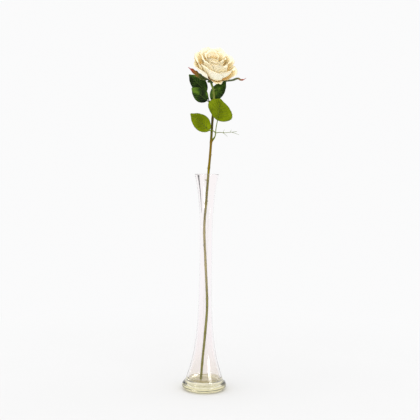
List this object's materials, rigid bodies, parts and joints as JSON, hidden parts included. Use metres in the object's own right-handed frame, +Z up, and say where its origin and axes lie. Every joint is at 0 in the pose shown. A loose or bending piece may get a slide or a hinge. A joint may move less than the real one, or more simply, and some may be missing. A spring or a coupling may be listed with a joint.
{
  "type": "glass bud vase",
  "caption": "Tall slim clear glass bud vase with a flared rim and foot, holding one artificial cream rose whose stem lifts out and whose head and leaf sprays turn on their pegs.",
  "frame": {"origin": "centre of the flat underside of the vase's foot", "axes": "+Z up along the vase's axis, +X to the right of the front view, -Y towards the viewer"},
  "size_m": [0.1114, 0.0997, 0.6342],
  "materials": {
    "wall_glass": "clear blown glass with a faint rose tint, polished",
    "foot_glass": "thick clear glass that looks pale olive along its edge, fire-polished",
    "stem_plastic": "moulded plastic stem, olive with orange-brown patches, lightly ribbed",
    "steel": "drawn wire",
    "calyx_plastic": "moulded plastic, green running to orange-brown and red at the sepal tips",
    "petal_fabric": "heat-set woven polyester, cream with a peach-yellow heart",
    "foam": "pale yellow foam",
    "light_leaf": "coated fabric leaf, matte olive green underside",
    "dark_leaf": "coated fabric leaf, dark green satin upper side",
    "rib_plastic": "moulded plastic leaf ribs, olive"
  },
  "bodies": {
    "vase": {"vase_wall": "wall_glass", "vase_foot": "foot_glass"},
    "rose_stem": {"stem_sheath": "stem_plastic", "stem_wire": "steel"},
    "bloom_head": {"calyx": "calyx_plastic", "bud_core": "foam", "petal_centre_1": "petal_fabric", "petal_centre_2": "petal_fabric", "petal_centre_3": "petal_fabric", "petal_inner_1": "petal_fabric", "petal_inner_2": "petal_fabric", "petal_inner_3": "petal_fabric", "petal_inner_4": "petal_fabric", "petal_inner_5": "petal_fabric", "petal_middle_1": "petal_fabric", "petal_middle_2": "petal_fabric", "petal_middle_3": "petal_fabric", "petal_middle_4": "petal_fabric", "petal_middle_5": "petal_fabric", "petal_open_1": "petal_fabric", "petal_open_2": "petal_fabric", "petal_open_3": "petal_fabric", "petal_open_4": "petal_fabric", "petal_open_5": "petal_fabric", "petal_guard_1": "petal_fabric", "petal_guard_2": "petal_fabric", "petal_guard_3": "petal_fabric", "petal_guard_4": "petal_fabric", "petal_guard_5": "petal_fabric"},
    "upper_spray": {"upper_ribs": "rib_plastic", "upper_leaf_left": "dark_leaf", "upper_leaf_right": "dark_leaf", "upper_leaf_tip": "dark_leaf"},
    "lower_spray": {"lower_ribs": "rib_plastic", "lower_leaf_left": "light_leaf", "lower_leaf_top": "light_leaf"}
  },
  "joints": [
    {"name": "rose_lift", "type": "slide", "parent": "vase", "child": "rose_stem", "axis": [0, 0, 1], "range_m": [0, 0.42]},
    {"name": "bloom_turn", "type": "hinge", "parent": "rose_stem", "child": "bloom_head", "pos_m": [0.0065, -0.008, 0.576], "axis": [0.0698, -0.6675, 0.7413], "continuous": true},
    {"name": "upper_spray_turn", "type": "hinge", "parent": "rose_stem", "child": "upper_spray", "pos_m": [0.01004, 0.00154, 0.522], "axis": [-0.2981, 0.7454, 0.5963], "range_deg": [-2, 24]},
    {"name": "lower_spray_turn", "type": "hinge", "parent": "rose_stem", "child": "lower_spray", "pos_m": [0.00676, -0.00048, 0.459], "axis": [0.5443, -0.2771, 0.7918], "range_deg": [-1, 60]}
  ]
}
